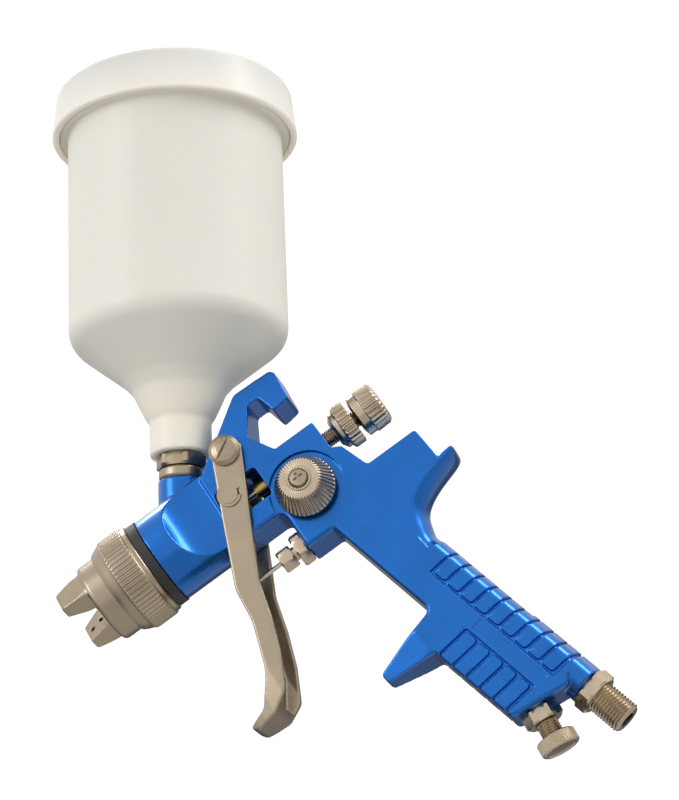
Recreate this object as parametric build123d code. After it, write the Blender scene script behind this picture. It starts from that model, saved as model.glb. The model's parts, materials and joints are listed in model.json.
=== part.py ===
from build123d import *
import os
from math import cos, radians, sin, sqrt, tan

# Gravity-feed HVLP spray gun, millimetres. It is drawn in the head frame: the spray axis is
# the X axis, paint leaves towards -X, +Z is up, the gun's left side faces -Y, and x = 0 is
# the rear edge of the air cap ring. Every piece is moved at the end so that the origin is
# where the air hose seats on the inlet thread.

# Body
body_thick = 22.0
body_half = body_thick / 2
barrel_r = 18.9
barrel_front_x = 4.4
neck_front_x = -9.7
barrel_rear_x = 40.0
neck_half = 9.8
pocket_entry_r = 20.0
pocket_flat_x = 31.0
block_front_x = 56.5
block_bottom_z = -36.5
neck_bottom_z = -17.8
top_z = 5.9
end_face_x = 87.4
hump_top_z = -23.3
hump_rear_x = 118.8
window_front_x = 37.5
window_rear_x = 57.6
window_bottom_z = -9.0
window_top_z = 5.2
window_round = 2.0
window_wall = 4.0
window_far_x = 52.5

# Hook
hook_root_z = 17.3
hook_draft = 8.5
hook_beam_z = 29.4
hook_top_z = 37.6
hook_tip_z = 20.2

# Grip
grip_rake = 13.2
grip_start_z = -66.5
grip_back_x = 102.0
spine_depth = 7.0
horn_z = -87.5
horn_tip_x = 51.0
horn_tip_half = 4.6
grip_front_round = 1.9
end_tilt = 5.6
grip_end_front = (82.8, -142.2)
grip_end_width = 25.6

# Paint side
cup_lean = 31.6
cup_axis_x = 15.0
boss_r = 9.7
boss_top = 26.9
collar_r = 9.4
collar_thick = 5.5
nipple_flats = 18.7
nipple_hex_thick = 5.6
nipple_thread_r = 7.5
nipple_spigot_r = 8.5
nipple_spigot_length = 12.0
nipple_bore_r = 5.0
cup_neck_r = 12.9
cup_neck_length = 15.0
cup_r = 46.2
cup_wall = 2.2
cup_bottom = 84.0
cup_corner_r = 10.0
cup_top = 200.0
cup_collar_r = cup_r + 3.4
lid_skirt_r = cup_collar_r + 3.3
lid_top_r = lid_skirt_r - 2.3
lid_bottom = cup_top - 18.0
lid_top = cup_top + 3.0
gasket_thick = 0.8
vent_r = 4.0

# Air cap and nozzle
ring_length = 18.0
head_thread_r = 16.0
ring_r = head_thread_r + 5.2
ring_front_r = head_thread_r + 2.4
seal_r = head_thread_r + 3.4
cap_turn = 22.6
cap_r = ring_front_r - 0.9
cap_flange_r = cap_r + 1.0
cap_gap = 0.3
cap_front_x = -26.4
horn_end_x = -38.6
horn_outer_r = 16.0
horn_half_width = 6.4
horn_tip_half_width = 4.4
nozzle_thread_r = 5.2
nozzle_rear_x = 2.0
nozzle_flange_r = 7.0
nozzle_tip_r = 1.6
nozzle_tip_x = -28.6
baffle_r = 12.5

# Needle line
needle_r = 1.2
needle_gap = 0.05
collar_front_x = 51.8
collar_length = 5.3
packing_x = 26.0
packing_length = 5.0
packing_r = 3.2
packing_nut_r = 4.0
packing_nut_end_x = 38.6
guide_r = 3.6
guide_bore_r = 2.7
needle_collar_r = guide_r - 0.3
guide_front_x = 72.0
guide_length = 34.0
needle_flange_x = 78.0
needle_flange_r = guide_bore_r - 0.2
needle_tail_x = 99.0
thread_gap = 0.05
lock_nut_x = 91.8
lock_nut_length = 9.4
knob_x = 102.6
knob_length = 12.4
knurl_r = 9.8
needle_spring_wire_r = 0.35
needle_spring_r = guide_bore_r - 0.75

# Trigger
pivot = (51.7, 17.0)
pivot_r = 2.5
pivot_head_r = 6.5
arm_top_r = 6.7
arm_thick = 2.4
arm_gap = 0.6
arm_outer_y = body_half + arm_gap + arm_thick
web_thick = 2.0
web_top_z = -24.0
pin_x = 43.0
pin_r = 3.8
pin_slot_depth = 2.0
pin_slot_half_width = 1.6
pivot_gap = 0.05

# Air valve
valve_z = -31.9
valve_flats = 13.0
valve_hex_thick = 5.0
valve_r = 3.8
valve_bore_end_x = 90.0
gland_flats = 9.0
gland_front_x = 43.7
gland_hex_thick = 6.2
gland_thread_r = 3.0
stem_r = 0.95
stem_tip_x = 26.7
valve_seat_x = 66.0
poppet_r = valve_r - 0.6
valve_spring_wire_r = 0.4
valve_spring_r = valve_r - 0.9

# Fan control
fan_x = 70.0
fan_z = -16.4
fan_base_r = 12.8
fan_face_r = 8.1
fan_height = 11.9
fan_standoff = 2.3
fan_bush_r = 5.5
fan_stem_r = 2.4
fan_spot_r = 15.9
fan_spot_depth = 0.9

# Air inlet and regulator
inlet_point = (113.5, -147.3)
inlet_boss_r = 7.9
inlet_flats = 16.0
inlet_hex_thick = 6.0
inlet_thread_r = 6.578
inlet_thread_length = 14.0
inlet_chamfer = 1.0
air_bore_r = 3.2
regulator_offset = 10.2
regulator_flats = 14.0
regulator_hex_thick = 5.8
regulator_thread_r = 4.5
regulator_gap = 6.4
regulator_knob_r = 8.2
regulator_knob_thick = 5.7

cup_dir = (sin(radians(cup_lean)), 0, cos(radians(cup_lean)))
rake_dir = (sin(radians(grip_rake)), 0, -cos(radians(grip_rake)))
end_dir = (-sin(radians(end_tilt)), 0, -cos(radians(end_tilt)))
inlet_seat = tuple(
    base + inlet_hex_thick * way
    for base, way in zip((inlet_point[0], 0, inlet_point[1]), rake_dir)
)


def rod(start, way, length, radius):
    """A cylinder from a point along a direction."""
    plane = Plane(origin=start, z_dir=way)
    return extrude(plane * Circle(radius), amount=length)


def rod_x(x0, x1, radius, z=0.0):
    """A cylinder along X."""
    return rod((x0, 0, z), (1, 0, 0), x1 - x0, radius)


def rod_y(y0, y1, radius, x, z):
    """A cylinder along Y."""
    return rod((x, y0, z), (0, 1, 0), y1 - y0, radius)


def hex_bar(start, way, length, flats):
    """A hexagonal bar with two flats facing the gun's sides, its corners turned off."""
    plane = Plane(origin=start, x_dir=(-way[2], 0, way[0]), z_dir=way)
    bar = extrude(plane * RegularPolygon(flats / sqrt(3), 6), amount=length)
    return bar & rod(start, way, length, flats / sqrt(3) - 0.35)


def turned(points, start, way):
    """A solid of revolution from (distance along the axis, radius) points."""
    outline = Polyline(*[(radius, along) for along, radius in points], close=True)
    shape = revolve(Plane.XZ * make_face(outline), Axis.Z)
    return Plane(origin=start, z_dir=way).location * shape


def slab(points, radii, y0, y1):
    """A plate parallel to XZ from corner points with one radius each."""
    outline = Plane.XZ * FilletPolyline(*points, radius=radii, close=True)
    return Pos(0, y0, 0) * extrude(make_face(outline), amount=y1 - y0, dir=(0, 1, 0))


def box_between(low, high):
    """A box from its lowest to its highest corner."""
    size = [b - a for a, b in zip(low, high)]
    return Pos(*low) * Box(*size, align=(Align.MIN,) * 3)


def coil(start, way, length, radius, wire_r, turns):
    """A compression spring."""
    path = Helix(pitch=(length - 2 * wire_r) / turns, height=length - 2 * wire_r, radius=radius)
    section = Plane(origin=path @ 0, z_dir=path % 0) * Circle(wire_r)
    wire = sweep(section, path=path, is_frenet=True)
    return Plane(origin=start, z_dir=way).location * Pos(0, 0, wire_r) * wire


def on_cup(height):
    """A point on the cup's axis."""
    return tuple(base + height * way for base, way in zip((cup_axis_x, 0, 0), cup_dir))


def side_pocket(side):
    """Room for a trigger arm beside the barrel, entered by a round-nosed cut."""
    tall = 2 * barrel_r + 4
    centre_y = side * (neck_half + pocket_entry_r)
    entry = Pos(pocket_flat_x, centre_y, -tall / 2) * Cylinder(
        pocket_entry_r, tall, align=(Align.CENTER, Align.CENTER, Align.MIN)
    )
    near, far = sorted((side * neck_half, side * (barrel_r + 4)))
    flat = box_between((pocket_flat_x, near, -tall / 2), (barrel_rear_x + 1, far, tall / 2))
    return entry + flat


def barrel():
    """The round head with its front thread, side pockets and paint boss."""
    shape = rod_x(barrel_front_x, barrel_rear_x, barrel_r)
    for side in (-1, 1):
        shape -= side_pocket(side)
    shape += rod_x(neck_front_x, barrel_front_x, head_thread_r)
    shape += rod(on_cup(0), cup_dir, boss_top, boss_r)
    return shape


def main_slab():
    """The flat centre of the casting, from the neck to the foot of the grip."""
    rake = tan(radians(grip_rake))
    front_x = 69.5
    inner_x = front_x + rake * (block_bottom_z - horn_z)
    lower_x = 73.3
    foot_x, foot_z = grip_end_front
    rear_x = foot_x + grip_end_width * cos(radians(end_tilt))
    rear_z = foot_z - grip_end_width * sin(radians(end_tilt))
    spine = [(x, z) for x, z, _, _ in spine_stations()[3:]]
    outline = [
        (36.0, neck_bottom_z, 0.0),
        (block_front_x, neck_bottom_z, 3.5),
        (block_front_x, block_bottom_z, 0.8),
        (front_x, block_bottom_z, 1.5),
        (inner_x, horn_z, 3.0),
        (horn_tip_x, horn_z - 8.6, 2.0),
        (horn_tip_x + 0.6, horn_z - 13.2, 2.0),
        (lower_x, horn_z - 15.8, 1.5),
        (foot_x, foot_z, 2.0),
        (rear_x, rear_z, 0.3),
        (rear_x + 2.0, rear_z + 3.0, 0.3),
        *[(x, z, 0.0) for x, z in reversed(spine)],
        (hump_rear_x + 0.8, hump_top_z - 15.6, 0.0),
        (hump_rear_x + 0.7, hump_top_z - 11.0, 0.0),
        (hump_rear_x, hump_top_z, 1.2),
        (95.4, hump_top_z, 2.0),
        (91.2, -10.2, 0.5),
        (end_face_x, -8.0, 0.5),
        (end_face_x - 0.2, top_z, 1.0),
        (68.6, top_z, 1.2),
        (62.4, hook_root_z, 0.0),
        (49.5, 24.0, 0.0),
        (42.0, 18.4, 0.0),
        (36.5, 14.2, 0.0),
    ]
    points = [(x, z) for x, z, _ in outline]
    radii = [r for _, _, r in outline]
    return slab(points, radii, -body_half, body_half)


def spine_stations():
    """Centre, depth and direction of the rounded back, from the tang's tip to the boss."""
    rake = radians(grip_rake)
    start = (grip_back_x - spine_depth * cos(rake), grip_start_z - spine_depth * sin(rake))
    foot = (inlet_point[0] - start[0]) * sin(rake) - (inlet_point[1] - start[1]) * cos(rake)
    end = (start[0] + foot * sin(rake), start[1] - foot * cos(rake))
    return [
        (127.0, -37.5, 0.7, 14.0),
        (125.9, -37.8, 2.2, 16.0),
        (122.5, -38.7, 3.4, 18.0),
        (113.3, -40.9, 4.3, 21.0),
        (104.6, -43.6, 5.8, 33.0),
        (97.2, -49.6, 6.8, 57.0),
        (94.2, -58.0, 7.0, 88.0),
        (start[0], start[1], spine_depth, 90.0 + grip_rake),
        (end[0], end[1], spine_depth, 90.0 + grip_rake),
    ]


def rounded_back(inset=0.0):
    """The rounded rear edge of the body: half-round sections along the web and grip."""
    sections = []
    for x, z, depth, turn in spine_stations():
        way = (-cos(radians(turn)), 0, -sin(radians(turn)))
        plane = Plane(origin=(x, 0, z), x_dir=(0, 1, 0), z_dir=way)
        half = min(body_half - 0.15, body_half - 2.2 + depth * 0.5)
        sections.append(plane * Ellipse(half - inset, depth - inset))
    upper = loft(sections[:-1])
    grip = loft(sections[-2:], ruled=True)
    return upper + grip


def hook():
    """The hanging hook, thinner towards its top."""
    outline = [
        (49.5, 24.0, 0.0),
        (42.0, 18.4, 0.0),
        (44.0, 12.0, 0.0),
        (64.8, 12.0, 0.0),
        (62.4, hook_root_z, 0.0),
        (69.5, hook_beam_z, 1.5),
        (75.1, hook_beam_z, 1.5),
        (77.3, hook_tip_z, 1.0),
        (85.3, hook_tip_z + 1.2, 1.6),
        (86.9, hook_top_z - 0.8, 3.0),
        (67.4, hook_top_z, 5.0),
        (53.3, 26.9, 0.0),
    ]
    points = [(x, z) for x, z, _ in outline]
    shape = slab(points, [r for _, _, r in outline], -body_half, body_half)
    for side in (-1, 1):
        plane = Plane(
            origin=(65, side * body_half, hook_root_z),
            x_dir=(1, 0, 0),
            z_dir=(0, side * cos(radians(hook_draft)), sin(radians(hook_draft))),
        )
        shape -= extrude(plane * Rectangle(90, 60), amount=12)
    return shape


def window():
    """The slot across the body for the trigger's pin, shorter on the far side."""
    corners = [
        (window_front_x, window_bottom_z),
        (window_rear_x, window_bottom_z),
        (window_rear_x, window_top_z),
        (window_front_x, window_top_z),
    ]
    near = slab(corners, [window_round] * 4, -2 * barrel_r, body_half - window_wall)
    slot = [(min(x, window_far_x), z) for x, z in corners]
    return near + slab(slot, [window_round] * 4, 0, 2 * barrel_r)


def passages():
    """Paint and air passages and the bores that the inner parts sit in."""
    regulator_start = regulator_point()
    cross_z = regulator_start[2] + 18
    return [
        rod_x(neck_front_x - 1, nozzle_rear_x, nozzle_thread_r),
        rod_x(0, packing_x, 3.6),
        rod_x(packing_x, packing_x + packing_length, packing_r),
        rod_x(packing_x + packing_length, window_front_x + 1, packing_nut_r),
        rod_x(window_rear_x - 1, end_face_x + 4, guide_r),
        rod(on_cup(0), cup_dir, boss_top + 1, nipple_bore_r),
        rod(on_cup(boss_top - 13), cup_dir, 14, nipple_thread_r),
        rod_x(block_front_x - 1, valve_bore_end_x, valve_r, valve_z),
        rod((fan_x, 0, valve_z), (0, 0, 1), fan_z - valve_z, 2.5),
        rod_y(-body_half - 1, 4.0, fan_bush_r, fan_x, fan_z),
        rod_x(2.0, fan_x, 2.0, neck_bottom_z + 4.4),
        rod(inlet_seat, tuple(-way for way in rake_dir), 114.0, air_bore_r),
        rod(regulator_start, tuple(-way for way in end_dir), 22, regulator_thread_r - 1.0),
        rod_x(regulator_start[0], regulator_start[0] + 16.5, 2.2, cross_z),
        rod_y(-2 * body_half, 2 * body_half, pivot_r, *pivot),
    ]


def regulator_point():
    """Where the regulator's axis meets the grip's end face."""
    foot_x, foot_z = grip_end_front
    return (
        foot_x + regulator_offset * cos(radians(end_tilt)),
        0,
        foot_z - regulator_offset * sin(radians(end_tilt)),
    )


def gun_body():
    """The one-piece casting: head, neck, block, hook, hump, tang, horn and grip."""
    shape = main_slab()
    lower = shape.edges().filter_by(
        lambda edge: abs(abs(edge.center().Y) - body_half) < 0.01
        and edge.center().Z < horn_z + 1
        and edge.center().X < grip_end_front[0] + 1
    )
    shape = fillet(lower, grip_front_round)
    for side in (-1, 1):
        shape -= horn_taper(side)
    shape += rounded_back()
    shape += hook()
    boss_start = tuple(base - 34 * way for base, way in zip(inlet_base(), rake_dir))
    shape += rod(boss_start, rake_dir, 34, inlet_boss_r)
    shape += barrel()
    shape -= rod(on_cup(boss_top), cup_dir, collar_thick + nipple_hex_thick, collar_r + 0.3)
    shape -= window()
    for bore in passages():
        shape -= bore
    lean = 3.0
    spot_dir = (0, -cos(radians(lean)), sin(radians(lean)))
    spot_start = (fan_x, -body_half + fan_spot_depth / 2 - 0.1, fan_z)
    shape -= rod(spot_start, spot_dir, 4, fan_spot_r)
    return shape


def horn_taper(side):
    """What is cut from one side of the finger horn, which thins towards its tip."""
    outline = Plane.XY * make_face(
        Polyline(
            (horn_tip_x - 2, side * horn_tip_half),
            (horn_tip_x + 21, side * (body_half + 0.01)),
            (horn_tip_x - 2, side * (body_half + 3)),
            close=True,
        )
    )
    cut = extrude(outline, amount=24, dir=(0, 0, 1))
    return Pos(0, 0, horn_z - 20) * cut


def inlet_base():
    """Where the inlet's axis meets the end of its boss."""
    return (inlet_point[0], 0, inlet_point[1])


def head_seal_ring():
    """The black seal between the head and the air cap ring."""
    ring = rod_x(0.2, barrel_front_x - 0.2, seal_r)
    return ring - rod_x(-1, barrel_front_x + 1, head_thread_r)


def air_cap_ring():
    """The knurled ring that clamps the air cap to the head."""
    clear = head_thread_r + thread_gap
    flange_clear = cap_flange_r + cap_gap
    profile = [
        (0, cap_r + cap_gap),
        (0, ring_front_r),
        (ring_length - 16, ring_front_r + 1.1),
        (ring_length - 11.5, ring_r - 0.4),
        (ring_length - 6, ring_r),
        (ring_length - 1.2, ring_r - 0.6),
        (ring_length, ring_r - 1.6),
        (ring_length, clear),
        (ring_length - 11.6, clear),
        (ring_length - 11.6, flange_clear),
        (2.4, flange_clear),
        (2.4, cap_r + cap_gap),
    ]
    return turned(profile, (-ring_length, 0, 0), (1, 0, 0))


def horn_sides():
    """A wedge that narrows the air cap's horns towards their tips."""
    outline = Plane.XZ * make_face(
        Polyline(
            (cap_front_x + 2, -horn_half_width),
            (cap_front_x + 2, horn_half_width),
            (horn_end_x, horn_tip_half_width),
            (horn_end_x, -horn_tip_half_width),
            close=True,
        )
    )
    return extrude(outline, amount=2 * cap_r, both=True)


def air_cap():
    """The air cap with its two horns, centre hole and fan air holes."""
    seat_x = neck_front_x - 2.3
    lip_x = -ring_length + 2.4 + cap_gap
    length = seat_x - cap_front_x
    inner_r = baffle_r + 0.6
    body = turned(
        [
            (0, inner_r),
            (0, cap_flange_r),
            (seat_x - lip_x, cap_flange_r),
            (seat_x - lip_x, cap_r),
            (length - 1.6, cap_r),
            (length - 0.5, cap_r - 0.5),
            (length, cap_r - 1.6),
            (length, nozzle_tip_r + 0.5),
            (length - 2.0, nozzle_tip_r + 0.5),
            (seat_x - lip_x, inner_r),
        ],
        (seat_x, 0, 0),
        (-1, 0, 0),
    )
    shape = body
    for side in (-1, 1):
        outline = Plane.XY * make_face(
            Polyline(
                (cap_front_x + 1.5, side * (cap_r - 1.0)),
                (cap_front_x - 3.0, side * (horn_outer_r + 0.2)),
                (horn_end_x + 1.0, side * (horn_outer_r - 0.8)),
                (horn_end_x, side * (horn_outer_r - 1.8)),
                (horn_end_x, side * 9.4),
                (cap_front_x - 4.2, side * 6.4),
                (cap_front_x + 1.5, side * 5.6),
                close=True,
            )
        )
        horn = extrude(outline, amount=horn_half_width, both=True) & horn_sides()
        shape += horn & rod_x(horn_end_x - 1, cap_front_x + 2, cap_r - 0.6)
        for drop in (0, 4.2):
            start = (cap_front_x - 7.2 + drop, side * 5.0, 0)
            shape -= rod(start, (-0.45, side * 0.9, 0), 6, 0.8)
    for spot in (-3.2, 3.2):
        shape -= rod((cap_front_x - 1, 0, spot), (1, 0, 0), 8, 0.5)
    return Rot(-cap_turn, 0, 0) * shape


def fluid_nozzle():
    """The nozzle that the needle closes, threaded into the head."""
    thread = nozzle_rear_x - neck_front_x
    whole = nozzle_rear_x - nozzle_tip_x
    shape = turned(
        [
            (0, nozzle_thread_r),
            (thread, nozzle_thread_r),
            (thread, nozzle_flange_r),
            (thread + 4.3, nozzle_flange_r),
            (whole - 8.0, 3.0),
            (whole - 4.6, nozzle_tip_r),
            (whole, nozzle_tip_r),
            (whole, 0.75),
            (whole - 8.0, 2.0),
            (thread + 5.0, 3.0),
            (0, 3.0),
        ],
        (nozzle_rear_x, 0, 0),
        (-1, 0, 0),
    )
    return shape


def air_baffle():
    """The ring with holes that spreads the air behind the cap."""
    ring = rod_x(neck_front_x - 3.9, neck_front_x, baffle_r) - rod_x(-20, 0, nozzle_flange_r + 0.1)
    for index in range(10):
        angle = radians(36 * index)
        ring -= rod((-20, 9.8 * cos(angle), 9.8 * sin(angle)), (1, 0, 0), 20, 1.0)
    return ring


def fluid_needle():
    """The needle from its tip to its tail, with the spring's flange."""
    tip_r = 0.55
    tip = -nozzle_tip_x - 0.6
    profile = [
        (-tip, 0),
        (-tip, 0.25),
        (-tip + 1.2, tip_r),
        (-tip + 7.0, needle_r),
        (pin_x + pin_r + 0.1, needle_r),
        (pin_x + pin_r + 0.1, needle_r + 0.5),
        (collar_front_x, needle_r + 0.5),
        (collar_front_x, needle_r),
        (needle_flange_x, needle_r),
        (needle_flange_x, needle_flange_r),
        (needle_flange_x + 2, needle_flange_r),
        (needle_flange_x + 2, needle_r),
        (needle_tail_x, needle_r),
        (needle_tail_x, 0),
    ]
    return turned(profile, (0, 0, 0), (1, 0, 0))


def needle_collar():
    """The brass collar that the trigger's pin pushes back."""
    collar = rod_x(collar_front_x, collar_front_x + collar_length, needle_collar_r)
    return collar - rod_x(collar_front_x - 1, collar_front_x + collar_length + 1, needle_r)


def needle_packing():
    """The soft packing round the needle."""
    ring = rod_x(packing_x, packing_x + packing_length, packing_r)
    return ring - rod_x(packing_x - 1, packing_nut_end_x, needle_r + needle_gap)


def packing_nut():
    """The slotted nut that squeezes the packing."""
    start = packing_x + packing_length
    nut = rod_x(start, packing_nut_end_x, packing_nut_r)
    nut -= rod_x(start - 1, packing_nut_end_x + 1, needle_r + 0.3)
    nut -= box_between((packing_nut_end_x - 0.7, -5, 2.2), (packing_nut_end_x + 1, 5, 5))
    nut -= box_between((packing_nut_end_x - 0.7, -5, -5), (packing_nut_end_x + 1, 5, -2.2))
    return nut


def needle_guide():
    """The threaded sleeve behind the body that carries the needle's nut and knob."""
    end = guide_front_x + guide_length
    return rod_x(guide_front_x, end, guide_r) - rod_x(guide_front_x - 1, end + 1, guide_bore_r)


def needle_spring():
    """The spring that closes the needle."""
    start = needle_flange_x + 2.05
    length = knob_stop_x() - start - 0.05
    return coil((start, 0, 0), (1, 0, 0), length, needle_spring_r, needle_spring_wire_r, 14)


def knob_stop_x():
    """Where the knob's stop ends inside the sleeve."""
    return needle_tail_x + 4.2


def needle_lock_nut():
    """The collared knurled nut that locks the knob."""
    bore = guide_r + thread_gap
    profile = [
        (0, bore),
        (0, 5.2),
        (1.8, 7.9),
        (3.6, 7.9),
        (4.0, knurl_r - 0.8),
        (4.6, knurl_r),
        (lock_nut_length - 0.7, knurl_r),
        (lock_nut_length, knurl_r - 0.7),
        (lock_nut_length, bore),
    ]
    return turned(profile, (lock_nut_x, 0, 0), (1, 0, 0))


def needle_knob():
    """The fluid knob, a closed cap over the sleeve."""
    bore = guide_r + thread_gap
    end = guide_front_x + guide_length - knob_x + 0.4
    profile = [
        (0, bore),
        (0, 5.9),
        (0.9, 9.0),
        (4.4, 9.0),
        (4.8, knurl_r),
        (knob_length - 1.2, knurl_r - 0.5),
        (knob_length - 0.3, knurl_r - 1.6),
        (knob_length, knurl_r - 3.4),
        (knob_length, 0),
        (end, 0),
        (end, bore),
    ]
    return turned(profile, (knob_x, 0, 0), (1, 0, 0))


def needle_stop():
    """The plunger fixed in the knob, which seats the spring and limits the needle."""
    end = guide_front_x + guide_length + 0.4
    return rod_x(knob_stop_x(), end, guide_bore_r - 0.15)


def inlet_collar():
    """The chamfered collar under the nipple's hexagon."""
    profile = [
        (0, nipple_thread_r),
        (0, collar_r - 1.2),
        (1.4, collar_r),
        (collar_thick - 1.0, collar_r),
        (collar_thick, collar_r - 0.8),
        (collar_thick, nipple_thread_r),
    ]
    return turned(profile, on_cup(boss_top), cup_dir)


def inlet_nipple():
    """The hexagonal nipple that joins the cup to the body."""
    hex_low = boss_top + collar_thick
    shape = rod(on_cup(boss_top - 13), cup_dir, 13 + collar_thick, nipple_thread_r)
    shape += hex_bar(on_cup(hex_low), cup_dir, nipple_hex_thick, nipple_flats)
    top = hex_low + nipple_hex_thick
    shape += rod(on_cup(top), cup_dir, nipple_spigot_length, nipple_spigot_r)
    return shape - rod(on_cup(boss_top - 14), cup_dir, 50, nipple_bore_r)


def cup_base():
    """The height of the cup neck's lower end."""
    return boss_top + collar_thick + nipple_hex_thick


def cup_corner(radius):
    """Points round the cup's bottom corner, from the cone up to the wall."""
    centre_h = cup_bottom + cup_corner_r
    centre_r = cup_r - cup_corner_r
    corner = []
    for turn in (52, 39, 26, 13, 0):
        angle = radians(turn)
        corner.append((centre_h - radius * sin(angle), centre_r + radius * cos(angle)))
    return corner


def paint_cup():
    """The translucent cup: threaded neck, flared bottom, body and threaded rim."""
    low = cup_base() + 0.1
    inside_r = nipple_spigot_r + thread_gap
    shelf = cup_base() + nipple_spigot_length + 0.4
    profile = [
        (low, inside_r),
        (low, cup_neck_r),
        (low + cup_neck_length, cup_neck_r),
        (low + cup_neck_length + 3.9, cup_neck_r + 3.7),
        (66.0, 19.5),
        (71.0, 24.0),
        *cup_corner(cup_corner_r),
        (lid_bottom + 0.2, cup_r),
        (lid_bottom + 0.2, cup_collar_r),
        (cup_top - 0.2, cup_collar_r),
        (cup_top - 0.2, cup_r - cup_wall),
        *reversed(cup_corner(cup_corner_r - cup_wall)),
        (73.4, 22.6),
        (68.2, 17.0),
        (low + cup_neck_length + 1.8, inside_r),
        (shelf + 1.6, inside_r - 0.8),
        (shelf, inside_r - 0.8),
        (shelf, inside_r),
    ]
    return turned(profile, on_cup(0), cup_dir)


def cup_strainer():
    """The plastic strainer standing in the cup's neck."""
    low = cup_base() + nipple_spigot_length + 0.5
    outer = nipple_spigot_r - 1.2
    profile = [
        (low, 0),
        (low, outer - 1.6),
        (low + 16, outer - 0.4),
        (low + 16, outer - 1.6),
        (low + 1.2, outer - 2.8),
        (low + 1.2, 0),
    ]
    shape = turned(profile, on_cup(0), cup_dir)
    rim = rod(on_cup(low + 2.0), cup_dir, 1.2, nipple_spigot_r + thread_gap - 0.9)
    rim -= rod(on_cup(low + 1.0), cup_dir, 4, outer - 1.8)
    return shape + rim


def cup_lid():
    """The screw lid, its skirt reaching down over the cup's rim."""
    clear = cup_collar_r + 0.3
    roof = lid_top - cup_top - 0.2 - gasket_thick
    profile = [
        (lid_bottom, clear),
        (lid_bottom, lid_skirt_r - 0.4),
        (lid_bottom + 0.6, lid_skirt_r),
        (lid_top - 2.4, lid_top_r + 0.6),
        (lid_top - 0.7, lid_top_r - 0.4),
        (lid_top, lid_top_r - 2.0),
        (lid_top, vent_r - 1.5),
        (lid_top - roof, vent_r - 1.5),
        (lid_top - roof, clear),
    ]
    return turned(profile, on_cup(0), cup_dir)


def lid_gasket():
    """The soft ring between the lid and the cup's rim."""
    low = cup_top
    ring = rod(on_cup(low), cup_dir, gasket_thick, cup_collar_r - 0.4)
    return ring - rod(on_cup(low - 1), cup_dir, 4, cup_r - cup_wall + 0.6)


def lid_vent():
    """The vent plug pushed into the middle of the lid."""
    roof = lid_top - cup_top - gasket_thick
    stem = rod(on_cup(lid_top - roof), cup_dir, roof, vent_r - 1.5)
    cap = turned(
        [(0, 0), (0, vent_r), (1.6, vent_r), (2.4, vent_r - 1.2), (2.4, 0)],
        on_cup(lid_top),
        cup_dir,
    )
    return stem + cap - rod(on_cup(lid_top - roof - 1), cup_dir, 9, 0.7)


def trigger_side():
    """The trigger's side view, from the pivot down to the curled foot."""
    points = [
        (45.2, pivot[1], 0.0),
        (58.8, 15.6, 0.0),
        (33.3, -37.6, 18.0),
        (29.6, -52.0, 16.0),
        (24.4, -67.0, 20.0),
        (17.6, -80.6, 6.0),
        (9.6, -85.2, 6.0),
        (-0.6, -85.8, 1.9),
        (-3.0, -82.6, 1.0),
        (6.2, -80.9, 5.0),
        (15.4, -69.4, 20.0),
        (22.0, -49.0, 18.0),
        (23.4, -34.6, 14.0),
        (34.4, -8.0, 30.0),
    ]
    return points


def inner_side(points):
    """The same side view moved back by the web's thickness and open to the rear."""
    front = [(x, z) for x, z, _ in points]
    shift = web_thick
    keep = [front[13], front[12], front[11], front[10]]
    shifted = [(x + shift, z + 0.2) for x, z in keep]
    foot = [(10.6, -80.4), (3.4, -82.0)]
    return shifted + foot + [(12.0, -83.2), (40.0, -84.0), (80.0, -30.0), (80.0, 40.0), (30.0, 40.0)]


def foot_shape(inset):
    """A tall block with the trigger's rounded plan, narrowing to the foot's tip."""
    wide = arm_outer_y + 0.1 - inset
    edge = [
        (inset - 3.6, wide - 9.9),
        (inset - 2.2, wide - 7.6),
        (inset + 0.6, wide - 5.4),
        (inset + 4.4, wide - 3.4),
        (inset + 9.6, wide - 1.5),
        (inset + 17.0, wide),
        (90, wide),
    ]
    outline = Polyline(*[(x, -y) for x, y in edge], *[(x, y) for x, y in reversed(edge)], close=True)
    return extrude(Plane.XY * make_face(outline), amount=200, both=True)


def trigger():
    """Two side arms joined by a front web and a curled foot."""
    points = trigger_side()
    flat = [(x, z) for x, z, _ in points]
    radii = [r for _, _, r in points]
    outer = slab(flat, radii, -arm_outer_y, arm_outer_y)
    outer += rod_y(-arm_outer_y, arm_outer_y, arm_top_r, *pivot)
    outer &= foot_shape(0.0)
    inner_y = arm_outer_y - arm_thick
    inside = inner_side(points)
    hollow = slab(inside, [0.0] * len(inside), -inner_y, inner_y) & foot_shape(arm_thick)
    shape = outer - hollow
    shape -= box_between((-20, -inner_y, web_top_z), (90, inner_y, 60))
    shape -= rod_y(-30, 30, pivot_r + pivot_gap, *pivot)
    shape -= rod_y(-30, 30, pin_r, pin_x, 0)
    return shape


def needle_pull_pin():
    """The cross pin in the trigger, forked so that the needle passes through."""
    reach = arm_outer_y + 1.0
    pin = rod_y(-reach, reach, pin_r, pin_x, 0)
    slot = box_between(
        (pin_x - 2 * pin_r, -pin_slot_half_width, -pin_slot_depth),
        (pin_x + 2 * pin_r, pin_slot_half_width, 2 * pin_r),
    )
    return pin - slot


def pin_clips():
    """The retaining rings at the ends of the cross pin."""
    clips = []
    for side in (-1, 1):
        y0, y1 = sorted((side * arm_outer_y, side * (arm_outer_y + 0.7)))
        ring = rod_y(y0, y1, pin_r + 1.2, pin_x, 0) - rod_y(y0 - 1, y1 + 1, pin_r, pin_x, 0)
        gap = box_between((pin_x + 0.5, y0 - 1, -6), (pin_x + 8, y1 + 1, 0))
        clips.append(ring - (gap & box_between((pin_x + 2.2, y0 - 1, -2.6), (pin_x + 8, y1 + 1, 0))))
    return Compound(children=clips)


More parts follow.
